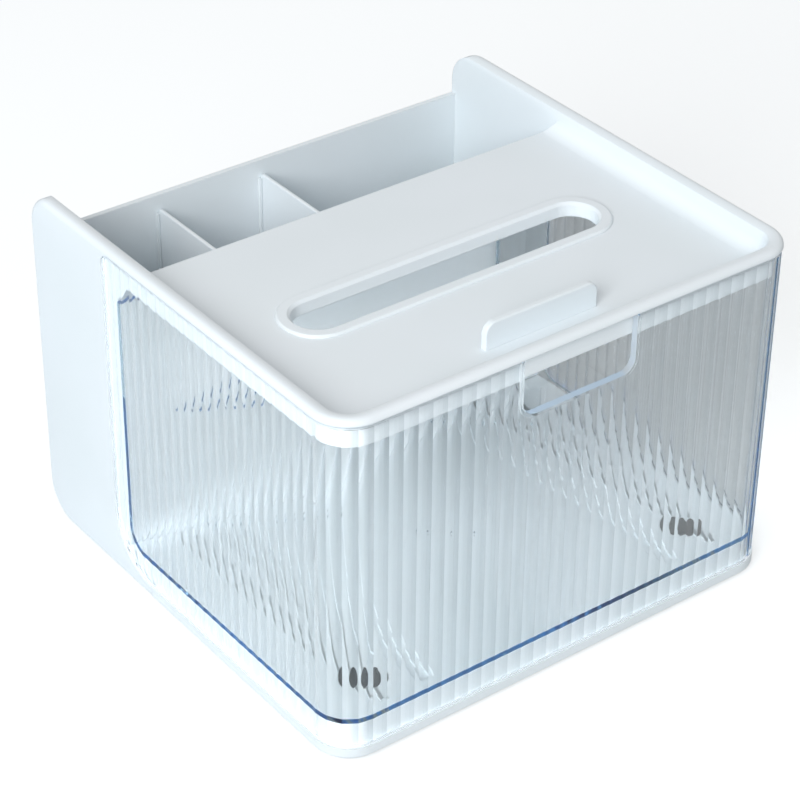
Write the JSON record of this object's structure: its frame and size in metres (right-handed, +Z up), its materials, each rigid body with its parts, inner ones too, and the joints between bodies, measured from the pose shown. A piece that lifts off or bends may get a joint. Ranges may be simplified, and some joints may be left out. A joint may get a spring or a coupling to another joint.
{
  "type": "tissue box organizer",
  "caption": "White tissue box organizer with a clear fluted pull-out tub, a slotted phone tray on top and open divided storage at the back.",
  "frame": {"origin": "centre of the footprint on the table, under the rubber feet", "axes": "+X to the right seen from the front, +Y from the finger notch to the back, +Z up"},
  "size_m": [0.22, 0.21, 0.1569],
  "materials": {
    "white_plastic": "satin cool white moulded plastic",
    "clear_plastic": "clear fluted polystyrene, faint blue tint",
    "black_rubber": "matte black rubber",
    "screw_steel": "zinc plated"
  },
  "bodies": {
    "case": {"body": "white_plastic", "base": "white_plastic", "divider_left": "white_plastic", "divider_right": "white_plastic", "foot_front_left": "black_rubber", "foot_front_right": "black_rubber", "foot_rear_left": "black_rubber", "foot_rear_right": "black_rubber", "base_screws": "screw_steel"},
    "tub": {"drawer": "clear_plastic"}
  },
  "joints": [
    {"name": "tub_slide", "type": "slide", "parent": "case", "child": "tub", "axis": [0, -1, 0], "range_m": [0, 0.122]}
  ]
}
